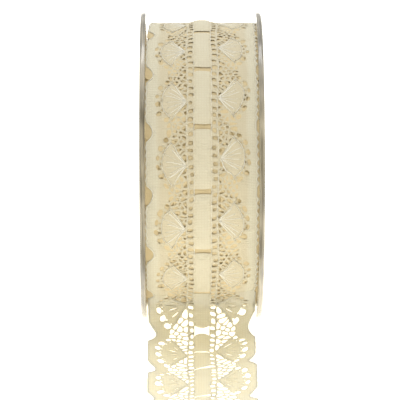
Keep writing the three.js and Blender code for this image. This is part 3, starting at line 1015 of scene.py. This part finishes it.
# Painted shade: the turn under the outer one is the same lace, painted darker and browner for the shade it
# lies in under the outer turn. Its middle strip, which shows in the slits, is painted darker still.
under_cotton_painted_shade = cotton("lace cotton under", (0.74, 0.61, 0.36), (0.68, 0.55, 0.31))
loose_cotton_painted_light = cotton("loose lace cotton", CREAM, (0.79, 0.75, 0.585), loose=(0.82, 0.785, 0.63))
# The threads are painted lighter than the cotton, partly as painted highlight. The loose end's threads are
# painted lighter still, as painted light for the light the sheet under them gets from below.
thread_cotton = gimp("lace gimp", (0.77, 0.71, 0.52), (0.93, 0.9, 0.79))
loose_gimp_painted_light = gimp("loose lace gimp", (0.93, 0.89, 0.72), (0.97, 0.95, 0.86), thin=True)
# Painted shade: the stacked edges of the inner turns, and the drum under the outer turns, are painted brown
# for the shade deep between the turns and the flanges.
stacked = wound_edges_painted_shade("stacked lace edges", (0.72, 0.58, 0.32))
plastic = clear_plastic("clear plastic")

first = FIRST_SLIT - PERIOD
roll_starts = [first - PERIOD * (i + 1) for i in range(ROLL_REPEATS)]
under_starts = [first - PERIOD * (i + 1) for i in range(ROLL_REPEATS, 2 * ROLL_REPEATS - 1)]

outer_turn = lace_sheet("lace_outer_turn", wound_repeats(SEEDS["outer"], roll_starts, WOUND))
finish_piece(outer_turn, outer_cotton, "wound_lace", "lace_roll")

under_turn = lace_sheet(
    "lace_under_turn", wound_repeats(SEEDS["under"], under_starts, UNDER), lift=UNDER_LIFT)
finish_piece(under_turn, under_cotton_painted_shade, "wound_lace")

outer_threads = lace_threads("lace_threads", [
    (repeat_threads(i, WOUND), start) for i, start in enumerate(roll_starts)])
finish_piece(outer_threads, thread_cotton, "wound_lace")

body = wound_body("lace_wound_body")
finish_piece(body, stacked, "wound_lace")

loose_laid = []
loose_thread_laid = []
for i in range(TAIL_REPEATS):
    slits = [((row["period"] + 1 - i) * PERIOD, row["middle"], row["ends"], row["turn"])
             for row in TAIL_SLITS if i <= row["period"] + 1 <= i + 1]
    ends = ("wound" if i == 0 else "loose", "loose")
    seams = (0 if i == 0 else LOOSE_NETS + i, LOOSE_NETS + i + 1)
    start = first + i * PERIOD
    loose_laid.append((cut_repeat(SEEDS["loose"] + i, seams, slits, LOOSE, ends), start))
    loose_thread_laid.append((repeat_threads(SEEDS["loose_threads"] + i, LOOSE, ends), start))
loose_end = lace_sheet("lace_loose_end", loose_laid)
finish_piece(loose_end, loose_cotton_painted_light, "loose_lace", "lace_tail")
loose_threads = lace_threads("lace_loose_threads", loose_thread_laid)
finish_piece(loose_threads, loose_gimp_painted_light, "loose_lace")

trim_end(loose_end)
trim_end(loose_threads)
solid = loose_end.modifiers.new("thickness", "SOLIDIFY")
solid.thickness = LOOSE_THICKNESS * MM
solid.offset = -1

for node_name, side in (("flange_left", -1), ("flange_right", 1)):
    finish_piece(flange("clear_" + node_name, side), plastic, "clear_plastic", node_name)

# Stage, light and camera

floor_mesh = bpy.data.meshes.new("floor")
FLOOR_HALF = 3.0
floor_corners = [(x * FLOOR_HALF, y * FLOOR_HALF, 0) for x, y in ((-1, -1), (1, -1), (1, 1), (-1, 1))]
floor_mesh.from_pydata(floor_corners, [], [(0, 1, 2, 3)])
floor = bpy.data.objects.new("floor", floor_mesh)
bpy.context.scene.collection.objects.link(floor)
floor_mesh.materials.append(glowing_floor("pale floor"))


def area_light(name, place_at, target, size, power, colour=(1, 1, 1)):
    data = bpy.data.lights.new(name, "AREA")
    data.shape = "DISK"
    data.size = size
    data.energy = power
    data.color = colour
    light = bpy.data.objects.new(name, data)
    light.location = place_at
    light.rotation_euler = (Vector(target) - Vector(place_at)).to_track_quat("-Z", "Y").to_euler()
    bpy.context.scene.collection.objects.link(light)


area_light("overhead", (0, 0.1, 1.6), (0, 0, 0), 1.6, 12.0)
area_light("left", (-1.3, -0.7, 0.9), (0, 0, 0.07), 1.0, 0.35)
area_light("right", (1.3, -0.6, 0.9), (0, 0, 0.07), 1.0, 0.35)
area_light("low front", (0, -1.3, 0.2), (0, -0.05, 0.0), 0.7, 0.5, (1, 0.92, 0.74))

# A white room all round, darker in front.
world = bpy.data.worlds.new("studio")
world.use_nodes = True
tree = world.node_tree
direction = tree.nodes.new("ShaderNodeTexCoord")
split = tree.nodes.new("ShaderNodeSeparateXYZ")
tree.links.new(direction.outputs["Generated"], split.inputs[0])
room = tree.nodes.new("ShaderNodeMapRange")
room.interpolation_type = "SMOOTHSTEP"
for socket, value in (("From Min", -0.98), ("From Max", -0.45), ("To Min", 0.12), ("To Max", 0.78)):
    room.inputs[socket].default_value = value
tree.links.new(split.outputs["Y"], room.inputs["Value"])
tree.links.new(room.outputs["Result"], tree.nodes["Background"].inputs["Strength"])
tree.nodes["Background"].inputs["Color"].default_value = (1, 1, 1, 1)
bpy.context.scene.world = world
bpy.context.scene.view_settings.view_transform = "Standard"

# The photograph is 400 pixels wide; the axle shows at (201, 165) in it.
IMAGE = 400
FOCAL_PIXELS = 2655
DISTANCE = 1.256
ELEVATION = math.radians(21)
AZIMUTH = math.radians(-0.45)
AXLE_PIXEL = (201.0, 165.0)

axle = Vector((0, AXLE_Y * MM, AXLE_Z * MM))
towards = Vector((
    math.sin(AZIMUTH) * math.cos(ELEVATION), -math.cos(AZIMUTH) * math.cos(ELEVATION), math.sin(ELEVATION)))
right = Vector((math.cos(AZIMUTH), math.sin(AZIMUTH), 0))
up = towards.cross(right)
per_pixel = DISTANCE / FOCAL_PIXELS
aim = axle + right * (IMAGE / 2 - AXLE_PIXEL[0]) * per_pixel - up * (IMAGE / 2 - AXLE_PIXEL[1]) * per_pixel
camera_data = bpy.data.cameras.new("camera")
camera_data.sensor_width = 36
camera_data.lens = FOCAL_PIXELS / IMAGE * camera_data.sensor_width
camera_data.clip_end = 20
camera = bpy.data.objects.new("camera", camera_data)
camera.location = axle + towards * DISTANCE
camera.rotation_euler = (aim - camera.location).to_track_quat("-Z", "Y").to_euler()
bpy.context.scene.collection.objects.link(camera)
bpy.context.scene.camera = camera
